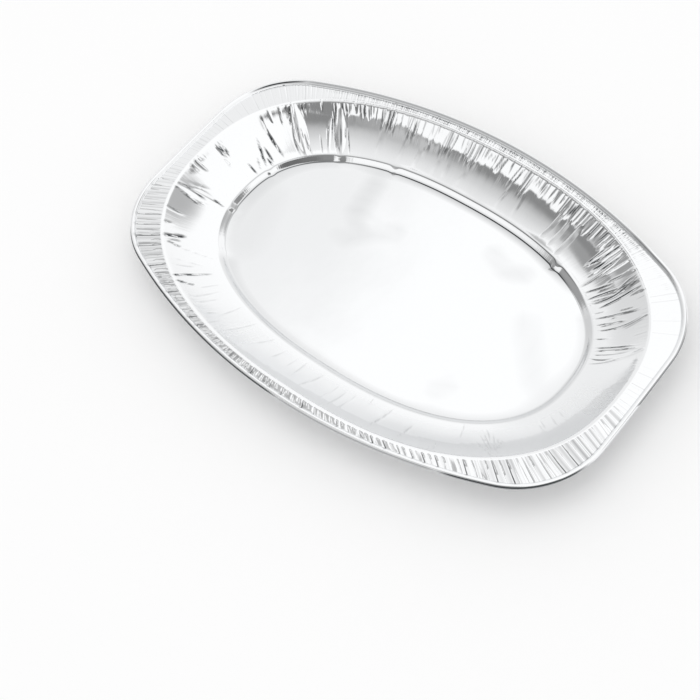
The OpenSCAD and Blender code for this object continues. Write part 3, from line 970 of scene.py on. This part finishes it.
    def wall(self) -> list[Ring]:
        """The hollowed wall with its gathers.

        Returns:
            The wall's rings, from the foot up.
        """
        made = []
        for i in range(self.wall_rings):
            share = self.wall_from + (self.wall_to - self.wall_from) * i / (self.wall_rings - 1)
            points = self.section.at(self.lines, Zone.WALL, share)
            push, shade = self.gathers.wall(self.lines.place, share)
            soft = read_off(self.gathers.soft_round, self.lines.place) * min(1.0, i / self.soft_rings)
            made.append(Ring(self.pushed(points, Zone.WALL, share, push), shade, 1, soft))
        return made

    def ridge(self) -> list[Ring]:
        """The ridge, rounded over and nearly smooth.

        Returns:
            The ridge's rings, from the wall outwards.
        """
        at = self.section.at
        before = at(self.lines, Zone.WALL, self.wall_to)
        corner = at(self.lines, Zone.WALL, 1.0)
        width = np.linalg.norm(self.lines.edge - self.lines.ridge, axis=1)
        out = at(self.lines, Zone.FLANGE, 1.0) - corner
        after = corner + out * (self.ridge_out / width)[:, None]
        made = []
        push, shade = self.gathers.wall(self.lines.place, self.wall_to)
        for q in self.ridge_rings:
            points = self.rounded(before, corner, after, q)
            points[:, 2] += push * (1 - q) * self.ridge_keeps
            made.append(Ring(points, shade * (1 - q) * self.ridge_keeps, 1))
        return made

    def slanted(self, share: float) -> Lines:
        """The plan's curves at stations that have slid along with the crimps' slant.

        Args:
            share: how far out on the flange, from 0 at the ridge to 1 at the rolled rim.

        Returns:
            The curves at the slid stations.
        """
        slide = read_off(self.gathers.slant_round, self.lines.place) * share
        return self.plan.lines(self.lines.place + slide / self.crimp_count)

    def flange(self) -> list[Ring]:
        """The crimped flange.

        Returns:
            The flange's rings, from the ridge outwards.
        """
        made = []
        for i in range(self.flange_rings):
            share = i / (self.flange_rings - 1)
            lines = self.slanted(share)
            width = np.linalg.norm(lines.edge - lines.ridge, axis=1)
            inner = self.section.at(lines, Zone.FLANGE, 0)
            outer = self.section.at(lines, Zone.FLANGE, 1)
            run = (self.crimps_from / width) + (1 - self.crimps_from / width) * share
            points = inner + (outer - inner) * run[:, None]
            push, shade = self.gathers.crimps(self.crimp, self.part, share)
            points[:, 2] += push
            made.append(Ring(points, shade, 1))
        return made

    def roll(self) -> list[Ring]:
        """The rolled rim, which keeps a faint print of the crimps.

        Returns:
            The roll's rings, from the flange over the top and under.
        """
        made = []
        lines = self.slanted(1.0)
        push, shade = self.gathers.crimps(self.crimp, self.part, 1.0)
        for i in range(self.roll_rings):
            turned = self.section.roll_turn * i / (self.roll_rings - 1)
            points = self.section.roll(lines, self.plan, turned)
            fade = max(0.0, 1 - turned / self.print_end)
            points[:, 2] += self.print_height * push * fade
            # Painted shade: the crimps' shade fading round the roll, and the lines of shade along it.
            painted_on_roll = shade * self.print_shade * fade
            for first, last, middle, width, depth in self.painted_roll_lines:
                place = self.lines.place
                within = smooth((place - first) / self.mark_fade) * smooth((last - place) / self.mark_fade)
                painted_on_roll = np.maximum(painted_on_roll, depth * within * max(0.0, 1 - abs(turned - middle) / width))
            made.append(Ring(points, painted_on_roll, self.roll_stride))
        return made

    def pushed(self, points: np.ndarray, zone: Zone, share: float, push: np.ndarray) -> np.ndarray:
        """Points moved along the smooth surface's upward normal.

        Args:
            points: the smooth ring.
            zone: the zone that it is in.
            share: its share of that zone.
            push: how far each point moves, in millimetres.

        Returns:
            The moved points.
        """
        step = 0.01
        ahead = self.section.at(self.lines, zone, share + step)
        behind = self.section.at(self.lines, zone, share - step)
        up = ahead - behind
        around = np.roll(points, -1, 0) - np.roll(points, 1, 0)
        normal = np.cross(up, around)
        normal /= np.linalg.norm(normal, axis=1)[:, None]
        return points + normal * push[:, None]

    def build(self) -> bpy.types.Object:
        """Makes the sheet's mesh, with the foil's real thickness.

        Returns:
            The pan.
        """
        middle = self.well() + self.step() + self.wall() + self.ridge() + self.flange() + self.roll()
        self.rings = self.skins(middle)
        starts, verts, shades, softs, drawn, uvs = [], [], [], [], [], []
        travelled = np.zeros(self.count)
        previous = None
        total = 0
        girth = self.plan.girth() * MM
        for ring in self.rings:
            if previous is not None:
                travelled = travelled + np.linalg.norm(ring.points - previous, axis=1) * MM
            previous = ring.points
            keep = slice(None, None, ring.stride)
            starts.append(total)
            verts.append(ring.points[keep] * MM)
            shades.append(ring.shade[keep])
            softs.append(np.zeros(len(shades[-1])) if ring.soft is None else ring.soft[keep])
            drawn.append(np.full(len(shades[-1]), ring.drawn))
            uvs.append(np.column_stack([self.lines.place[keep] * girth, travelled[keep]]))
            total += len(verts[-1])
        verts.append(np.array([self.rings[0].points.mean(0), self.rings[-1].points.mean(0)]) * MM)
        shades.append(np.zeros(2))
        softs.append(np.zeros(2))
        drawn.append(np.zeros(2))
        uvs.append(np.zeros((2, 2)))
        faces = self.faces(starts, total)
        mesh = bpy.data.meshes.new("foil_sheet")
        mesh.from_pydata(np.concatenate(verts).tolist(), [], faces)
        for name, values in (("fold_shade", shades), ("soft_gathers", softs), ("drawn_in", drawn)):
            layer = mesh.attributes.new(name, "FLOAT", "POINT")
            layer.data.foreach_set("value", np.concatenate(values).astype(np.float32))
        layer = mesh.uv_layers.new(name="foil_uv")
        corner = np.zeros(len(mesh.loops), np.int32)
        mesh.loops.foreach_get("vertex_index", corner)
        flat = np.concatenate(uvs)[corner]
        layer.data.foreach_set("uv", self.unwrapped(mesh, flat, girth).astype(np.float32).ravel())
        mesh.shade_smooth()
        mesh.set_sharp_from_angle(angle=math.radians(self.sharp_angle))
        sheet = bpy.data.objects.new("foil_sheet", mesh)
        bpy.context.scene.collection.objects.link(sheet)
        return sheet

    def skins(self, middle: list[Ring]) -> list[Ring]:
        """The upper and the lower face of the foil, half its thickness from its middle.

        Args:
            middle: the rings of the sheet's middle, from the inside of the well outwards.

        Returns:
            The upper face's rings from the inside out, then the lower face's from the outside in.
        """
        upper, lower = [], []
        last = len(middle) - 1
        for k, ring in enumerate(middle):
            ahead = middle[min(k + 1, last)].points - middle[max(k - 1, 0)].points
            around = np.roll(ring.points, -1, 0) - np.roll(ring.points, 1, 0)
            normal = np.cross(ahead, around)
            normal *= self.section.foil_t / 2 / np.linalg.norm(normal, axis=1)[:, None]
            upper.append(Ring(ring.points + normal, ring.shade, ring.stride, ring.soft, ring.drawn))
            on_roll = k > last - self.roll_rings
            coarser = max(ring.stride, self.lower_roll_stride if on_roll else self.lower_stride)
            shade = self.lower_shade * ring.shade
            lower.append(Ring(ring.points - normal, shade, coarser, None, ring.drawn))
        return upper + lower[::-1]

    def unwrapped(self, mesh: bpy.types.Mesh, flat: np.ndarray, girth: float) -> np.ndarray:
        """Mends the faces that cross the place where the girth starts again.

        Args:
            mesh: the sheet's mesh.
            flat: two coordinates for each face corner, in metres.
            girth: the length round the ridge, in metres.

        Returns:
            The coordinates with no face stretched right round.
        """
        sizes = np.zeros(len(mesh.polygons), np.int32)
        mesh.polygons.foreach_get("loop_total", sizes)
        owner = np.repeat(np.arange(len(sizes)), sizes)
        highest = np.zeros(len(sizes))
        np.maximum.at(highest, owner, flat[:, 0])
        crossing = flat[:, 0] < highest[owner] - girth / 2
        flat[crossing, 0] += girth
        return flat

    def faces(self, starts: list[int], middle: int) -> list[tuple[int, ...]]:
        """The faces between neighbouring rings, and the two fans in the middle of the well.

        Args:
            starts: the first vertex of each ring.
            middle: the vertex in the middle of the well's upper face. The lower one's is next.

        Returns:
            Vertex numbers of each face, facing out of the foil.
        """
        made: list[tuple[int, ...]] = []
        first = self.count // self.rings[0].stride
        final = starts[-1]
        made += [(middle, i, (i + 1) % first) for i in range(first)]
        made += [(middle + 1, final + (i + 1) % first, final + i) for i in range(first)]
        for k in range(len(self.rings) - 1):
            a, b = self.rings[k], self.rings[k + 1]
            na, nb = self.count // a.stride, self.count // b.stride
            sa, sb = starts[k], starts[k + 1]
            if na == nb:
                made += [
                    (sa + i, sb + i, sb + (i + 1) % nb, sa + (i + 1) % na) for i in range(na)
                ]
            elif na < nb:
                for i in range(na):
                    here, after = sa + i, sa + (i + 1) % na
                    m = [sb + (2 * i + j) % nb for j in range(3)]
                    made += [(here, m[0], m[1]), (here, m[1], after), (after, m[1], m[2])]
            else:
                for i in range(nb):
                    here, after = sb + i, sb + (i + 1) % nb
                    m = [sa + (2 * i + j) % na for j in range(3)]
                    made += [(m[0], here, m[1]), (m[1], here, after), (m[1], after, m[2])]
        return made


@dataclass(frozen=True)
class RolledFoil:
    """Household aluminium foil, cold rolled and left uncoated.

    Rolling leaves it almost mirror bright with a faint grain, and pressing leaves soft buckles in
    the flats. Shade is painted into its colour along folds and creases, and in bands and marks.
    """

    bright: str = "#F1F2F3"
    # The dark colour that painted shade takes the foil towards, in its creases, folds, bands and marks.
    painted_shade: str = "#34383B"
    roughness: float = 0.05
    # What the finest gathers of the wall add to the roughness.
    soft_roughness: float = 0.24
    # Size of the soft buckles in the flats, and how high they stand.
    buckle_mm: float = 26.0
    buckle_height_mm: float = 0.10
    # Fine drag lines that run down the wall and across the flange where the sheet was drawn in:
    # how wide, how high and how many times longer than wide.
    drag_mm: float = 1.6
    drag_height_mm: float = 0.035
    drag_stretch: float = 14.0
    # The rolling grain is really about 0.01 mm across. It is drawn at 0.9 mm, so that it shows,
    # and it is this many times longer along the way that the foil was rolled, which is X.
    grain_mm: float = 0.9
    grain_height_mm: float = 0.003
    grain_stretch: float = 40.0
    # The amounts of painted shade between which the colour goes from bright to the painted shade colour.
    fold_range: tuple[float, float] = (0.04, 0.60)
    # How much smoother and rougher than its usual roughness the foil gets along the drag lines,
    # and between which heights of theirs.
    roughness_range: tuple[float, float] = (0.7, 1.5)
    drag_range: tuple[float, float] = (0.3, 0.7)

    def make(self) -> bpy.types.Material:
        """Makes the material.

        Returns:
            The foil's material.
        """
        material = bpy.data.materials.new("rolled aluminium foil")
        material.use_nodes = True
        tree = material.node_tree
        tree.nodes.clear()
        place = add_node(tree, "ShaderNodeTexCoord")
        buckle = add_node(
            tree, "ShaderNodeTexNoise",
            {"Scale": 1 / (self.buckle_mm * MM), "Detail": 2.0, "Roughness": 0.45},
            {"Vector": place.outputs["Object"]},
        )
        along = add_node(
            tree, "ShaderNodeMapping",
            {"Scale": (1 / (self.drag_mm * MM), 1 / (self.drag_stretch * self.drag_mm * MM), 1.0)},
            {"Vector": place.outputs["UV"]},
        )
        drag = add_node(
            tree, "ShaderNodeTexNoise",
            {"Scale": 1.0, "Detail": 3.0, "Roughness": 0.6},
            {"Vector": along.outputs["Vector"]},
        )
        drawn = add_node(tree, "ShaderNodeAttribute", {"attribute_name": "drawn_in"})
        lines = add_node(
            tree, "ShaderNodeMath", {"operation": "MULTIPLY"},
            {0: drag.outputs["Fac"], 1: drawn.outputs["Fac"]},
        )
        per_grain = 1 / (self.grain_mm * MM)
        grain_way = add_node(
            tree, "ShaderNodeMapping",
            {"Scale": (1 / (self.grain_stretch * self.grain_mm * MM), per_grain, per_grain)},
            {"Vector": place.outputs["Object"]},
        )
        grain = add_node(
            tree, "ShaderNodeTexNoise",
            {"Scale": 1.0, "Detail": 2.0, "Roughness": 0.5},
            {"Vector": grain_way.outputs["Vector"]},
        )
        normal: dict[object, bpy.types.NodeSocket] = {}
        for height, height_mm in (
            (buckle.outputs["Fac"], self.buckle_height_mm),
            (lines.outputs[0], self.drag_height_mm),
            (grain.outputs["Fac"], self.grain_height_mm),
        ):
            settings = {"Strength": 1.0, "Distance": height_mm * MM}
            bump = add_node(tree, "ShaderNodeBump", settings, {"Height": height, **normal})
            normal = {"Normal": bump.outputs["Normal"]}
        # Painted shade: the sheet's shade attribute darkens the colour towards the dark shade colour.
        folds = add_node(tree, "ShaderNodeAttribute", {"attribute_name": "fold_shade"})
        painted_shade = add_node(
            tree, "ShaderNodeMapRange",
            {"From Min": self.fold_range[0], "From Max": self.fold_range[1]},
            {"Value": folds.outputs["Fac"]},
        )
        colour = add_node(
            tree, "ShaderNodeMix",
            {"data_type": "RGBA", 6: hex_to_linear(self.bright), 7: hex_to_linear(self.painted_shade)},
            {0: painted_shade.outputs["Result"]},
        )
        low, high = self.drag_range
        least, most = (self.roughness * times for times in self.roughness_range)
        dull_and_painted_shade = add_node(
            tree, "ShaderNodeMapRange",
            {"From Min": low, "From Max": high, "To Min": least, "To Max": most},
            {"Value": lines.outputs[0]},
        )
        gathers = add_node(tree, "ShaderNodeAttribute", {"attribute_name": "soft_gathers"})
        spread = add_node(
            tree, "ShaderNodeMath", {"operation": "MULTIPLY_ADD", 1: self.soft_roughness},
            {0: gathers.outputs["Fac"], 2: dull_and_painted_shade.outputs["Result"]},
        )
        shader = add_node(
            tree, "ShaderNodeBsdfPrincipled",
            {"Metallic": 1.0},
            {"Base Color": colour.outputs[2], "Roughness": spread.outputs[0], **normal},
        )
        add_node(tree, "ShaderNodeOutputMaterial", None, {"Surface": shader.outputs["BSDF"]})
        return material


@dataclass(frozen=True)
class PaperFloor:
    """Matt white background paper, which shows only the pan's soft shadow."""

    colour: str = "#FBFBFB"
    size: float = 24.0
    roughness: float = 0.9
    # How far it lies below the pan, so that no two faces share a plane.
    drop: float = 0.0002

    def build(self) -> bpy.types.Object:
        """Makes the floor.

        Returns:
            The floor's object.
        """
        half = self.size / 2
        corners = [(-half, -half, 0), (half, -half, 0), (half, half, 0), (-half, half, 0)]
        mesh = bpy.data.meshes.new("floor")
        mesh.from_pydata(corners, [], [(0, 1, 2, 3)])
        floor = bpy.data.objects.new("floor", mesh)
        bpy.context.scene.collection.objects.link(floor)
        material = bpy.data.materials.new("matt background paper")
        material.use_nodes = True
        shader = material.node_tree.nodes["Principled BSDF"]
        shader.inputs["Base Color"].default_value = hex_to_linear(self.colour)
        shader.inputs["Roughness"].default_value = self.roughness
        shader.inputs["Specular IOR Level"].default_value = 0.0
        floor.data.materials.append(material)
        floor.location.z = -self.drop
        return floor


@dataclass(frozen=True)
class Studio:
    """A white room, lit softly from above, with a long dark screen and a small grey one in it.

    Bright metal mirrors the room, so the screens give the pan its dark and grey reflections.
    """

    # Brightness of the room by height, which is the sine of the elevation turned to 0 to 1.
    room: tuple[tuple[float, str], ...] = (
        (0.00, "#DCDCDC"), (0.40, "#E2E2E2"), (0.52, "#F0F0F0"), (0.62, "#F8F8F8"),
        (0.80, "#FDFDFD"), (1.00, "#FFFFFF"),
    )
    # Brightness across the long screen, from under its sharp lower edge up to where it ends.
    screen: tuple[tuple[float, str], ...] = (
        (0.00, "#DADADA"), (0.54, "#F8F8F8"), (0.724, "#FDFDFD"), (0.738, "#868686"),
        (0.785, "#888888"), (0.805, "#969696"), (0.825, "#ABABAB"), (0.845, "#BABABA"),
        (0.870, "#C8C8C8"), (0.900, "#D2D2D2"), (0.940, "#E0E0E0"), (0.980, "#EBEBEB"),
        (1.00, "#F4F4F4"),
    )
    # How much brighter the room's screens are than the paper that the pan lies on.
    screens_brighter: float = 0.13
    # What lights matt surfaces, and what the camera sees behind the pan.
    fill: str = "#F8F8F8"
    backdrop: str = "#FFFFFF"
    # The pole that the long screen circles, and the compass direction of its middle.
    screen_pole: tuple[float, float, float] = (-0.258, 0.022, 0.966)
    screen_middle: float = 249.0
    # The cosines of the angles from its middle at which it has faded out and is in full.
    screen_ends: tuple[float, float] = (0.50, 0.70)
    # Grey cards round the room: compass direction, elevation, the angles from the middle at
    # which each starts to fade and is gone, and its colour.
    cards: tuple[tuple[float, float, float, float, str], ...] = (
        (289.0, 44.0, 10.0, 13.0, "#888888"), (308.0, 45.0, 10.0, 13.0, "#747474"),
        (327.0, 45.0, 9.0, 13.0, "#6C6C6C"), (196.0, 16.0, 8.0, 40.0, "#D8D8D8"),
        (165.0, 25.0, 24.0, 34.0, "#EEEEEE"), (206.0, 43.0, 3.0, 9.0, "#9A9A9A"),
        (211.0, 23.0, 9.0, 16.0, "#9C9C9C"), (62.0, 35.0, 2.0, 20.0, "#B4B4B4"),
        (34.0, 38.0, 4.0, 8.0, "#8C8C8C"), (173.0, 62.0, 6.5, 10.5, "#BEBEBE"),
        (150.0, 45.0, 6.0, 14.0, "#F0F0F0"),
    )
    # Lighter patches on the long screen, given in the same way.
    patches: tuple[tuple[float, float, float, float, str], ...] = (
        (257.0, 48.0, 4.0, 11.0, "#A4A4A4"), (242.0, 49.0, 2.0, 7.0, "#C0C0C0"),
    )
    # The soft lamp over the pan: width in metres, power in watts, and place.
    lamp_size: float = 1.6
    lamp_power: float = 4.0
    lamp_at: tuple[float, float, float] = (-0.1, 0.1, 2.0)

    def build_world(self) -> None:
        """Sets the world: what lights the room, what metal mirrors and what the camera sees."""
        world = bpy.data.worlds.new("white studio")
        bpy.context.scene.world = world
        world.use_nodes = True
        tree = world.node_tree
        tree.nodes.clear()
        where = add_node(tree, "ShaderNodeTexCoord").outputs["Generated"]
        parts = add_node(tree, "ShaderNodeSeparateXYZ", None, {0: where})
        height = add_node(
            tree, "ShaderNodeMath", {"operation": "MULTIPLY_ADD", 1: 0.5, 2: 0.5}, {0: parts.outputs["Z"]}
        )
        pale = add_node(tree, "ShaderNodeValToRGB", None, {0: height.outputs[0]})
        fill_ramp(pale.color_ramp, self.room)
        across = add_node(
            tree, "ShaderNodeVectorMath", {"operation": "DOT_PRODUCT", 1: self.screen_pole}, {0: where}
        )
        dark = add_node(tree, "ShaderNodeValToRGB", None, {0: across.outputs["Value"]})
        fill_ramp(dark.color_ramp, self.screen)
        flat = add_node(
            tree, "ShaderNodeCombineXYZ", None, {"X": parts.outputs["X"], "Y": parts.outputs["Y"]}
        )
        unit = add_node(tree, "ShaderNodeVectorMath", {"operation": "NORMALIZE"}, {0: flat.outputs[0]})
        middle = math.radians(self.screen_middle)
        facing = add_node(
            tree, "ShaderNodeVectorMath",
            {"operation": "DOT_PRODUCT", 1: (math.cos(middle), math.sin(middle), 0.0)},
            {0: unit.outputs[0]},
        )
        on_screen = add_node(
            tree, "ShaderNodeMapRange",
            {
                "interpolation_type": "SMOOTHSTEP",
                "From Min": self.screen_ends[0], "From Max": self.screen_ends[1],
            },
            {"Value": facing.outputs["Value"]},
        )
        with_screen = add_node(
            tree, "ShaderNodeMix", {"data_type": "RGBA"},
            {0: on_screen.outputs["Result"], 6: pale.outputs["Color"], 7: dark.outputs["Color"]},
        )
        mirrored = with_screen.outputs[2]
        for blend, hung in (("LIGHTEN", self.patches), ("DARKEN", self.cards)):
            for card in hung:
                mirrored = self.hang_card(tree, where, mirrored, card, blend)
        ray = add_node(tree, "ShaderNodeLightPath")
        seen = add_node(
            tree, "ShaderNodeMix", {"data_type": "RGBA", 6: hex_to_linear(self.fill)},
            {0: ray.outputs["Is Glossy Ray"], 7: mirrored},
        )
        shown = add_node(
            tree, "ShaderNodeMix", {"data_type": "RGBA", 7: hex_to_linear(self.backdrop)},
            {0: ray.outputs["Is Camera Ray"], 6: seen.outputs[2]},
        )
        strength = add_node(
            tree, "ShaderNodeMath", {"operation": "MULTIPLY_ADD", 1: self.screens_brighter, 2: 1.0},
            {0: ray.outputs["Is Glossy Ray"]},
        )
        light = add_node(
            tree, "ShaderNodeBackground", None,
            {"Color": shown.outputs[2], "Strength": strength.outputs[0]},
        )
        add_node(tree, "ShaderNodeOutputWorld", None, {"Surface": light.outputs[0]})

    def hang_card(
        self,
        tree: bpy.types.NodeTree,
        where: bpy.types.NodeSocket,
        behind: bpy.types.NodeSocket,
        card: tuple[float, float, float, float, str],
        blend: str,
    ) -> bpy.types.NodeSocket:
        """Hangs one round grey card in front of the room.

        Args:
            tree: the world's node tree.
            where: the direction looked in.
            behind: the colour of what is behind the card.
            card: direction, elevation, the two angles of its edge, and colour.
            blend: DARKEN for a card that only darkens, or LIGHTEN for a lighter patch.

        Returns:
            The colour of the room with the card in it.
        """
        turn, lift, full, gone = (math.radians(v) for v in card[:4])
        towards = (math.cos(turn) * math.cos(lift), math.sin(turn) * math.cos(lift), math.sin(lift))
        near = add_node(
            tree, "ShaderNodeVectorMath", {"operation": "DOT_PRODUCT", 1: towards}, {0: where}
        )
        on_card = add_node(
            tree, "ShaderNodeMapRange",
            {"interpolation_type": "SMOOTHSTEP", "From Min": math.cos(gone), "From Max": math.cos(full)},
            {"Value": near.outputs["Value"]},
        )
        mixed = add_node(
            tree, "ShaderNodeMix",
            {"data_type": "RGBA", "blend_type": blend, 7: hex_to_linear(card[4])},
            {0: on_card.outputs["Result"], 6: behind},
        )
        return mixed.outputs[2]

    def build_lamp(self) -> bpy.types.Object:
        """Makes one large soft lamp over the pan.

        Returns:
            The lamp's object.
        """
        lamp = bpy.data.lights.new("softbox", "AREA")
        lamp.shape = "DISK"
        lamp.size = self.lamp_size
        lamp.energy = self.lamp_power
        made = bpy.data.objects.new("softbox", lamp)
        bpy.context.scene.collection.objects.link(made)
        made.location = self.lamp_at
        made.rotation_euler = (Vector((0, 0, 0)) - made.location).to_track_quat("-Z", "Y").to_euler()
        made.visible_glossy = False
        return made


@dataclass(frozen=True)
class ProductCamera:
    """The photo's camera, from the perspective of the pan's outlines."""

    # Sensor width and focal length in millimetres, and place in metres.
    sensor: float = 36.0
    lens: float = 69.04
    position: tuple[float, float, float] = (0.4418, -0.3885, 0.8375)
    forward: tuple[float, float, float] = (-0.4349, 0.3225, -0.8407)
    up: tuple[float, float, float] = (-0.4800, 0.7069, 0.5195)

    def build(self) -> bpy.types.Object:
        """Makes the scene's camera.

        Returns:
            The camera's object.
        """
        data = bpy.data.cameras.new("camera")
        data.lens = self.lens
        data.sensor_width = self.sensor
        camera = bpy.data.objects.new("camera", data)
        bpy.context.scene.collection.objects.link(camera)
        back = -Vector(self.forward).normalized()
        right = Vector(self.up).cross(back).normalized()
        turn = Matrix((right, back.cross(right), back)).transposed().to_4x4()
        camera.matrix_world = Matrix.Translation(self.position) @ turn
        bpy.context.scene.camera = camera
        return camera


def main() -> None:
    """Builds the pan, its finish and the studio, and says what was made."""
    logging.basicConfig(level=logging.INFO, format="%(name)s: %(message)s")
    sheet = FoilSheet().build()
    sheet.data.materials.append(RolledFoil().make())
    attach(sheet, "root")
    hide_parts("foil_pan")
    log.info("%s: %d faces on both sides together", sheet.name, len(sheet.data.polygons))
    paper, studio, camera = PaperFloor(), Studio(), ProductCamera()
    floor = paper.build()
    log.info("%s: %.1f m wide", floor.name, paper.size)
    studio.build_world()
    log.info("%s: soft lamp", studio.build_lamp().name)
    log.info("%s: %.1f mm lens", camera.build().name, camera.lens)
    bpy.context.scene.view_settings.view_transform = "Standard"


if __name__ == "__main__":
    main()
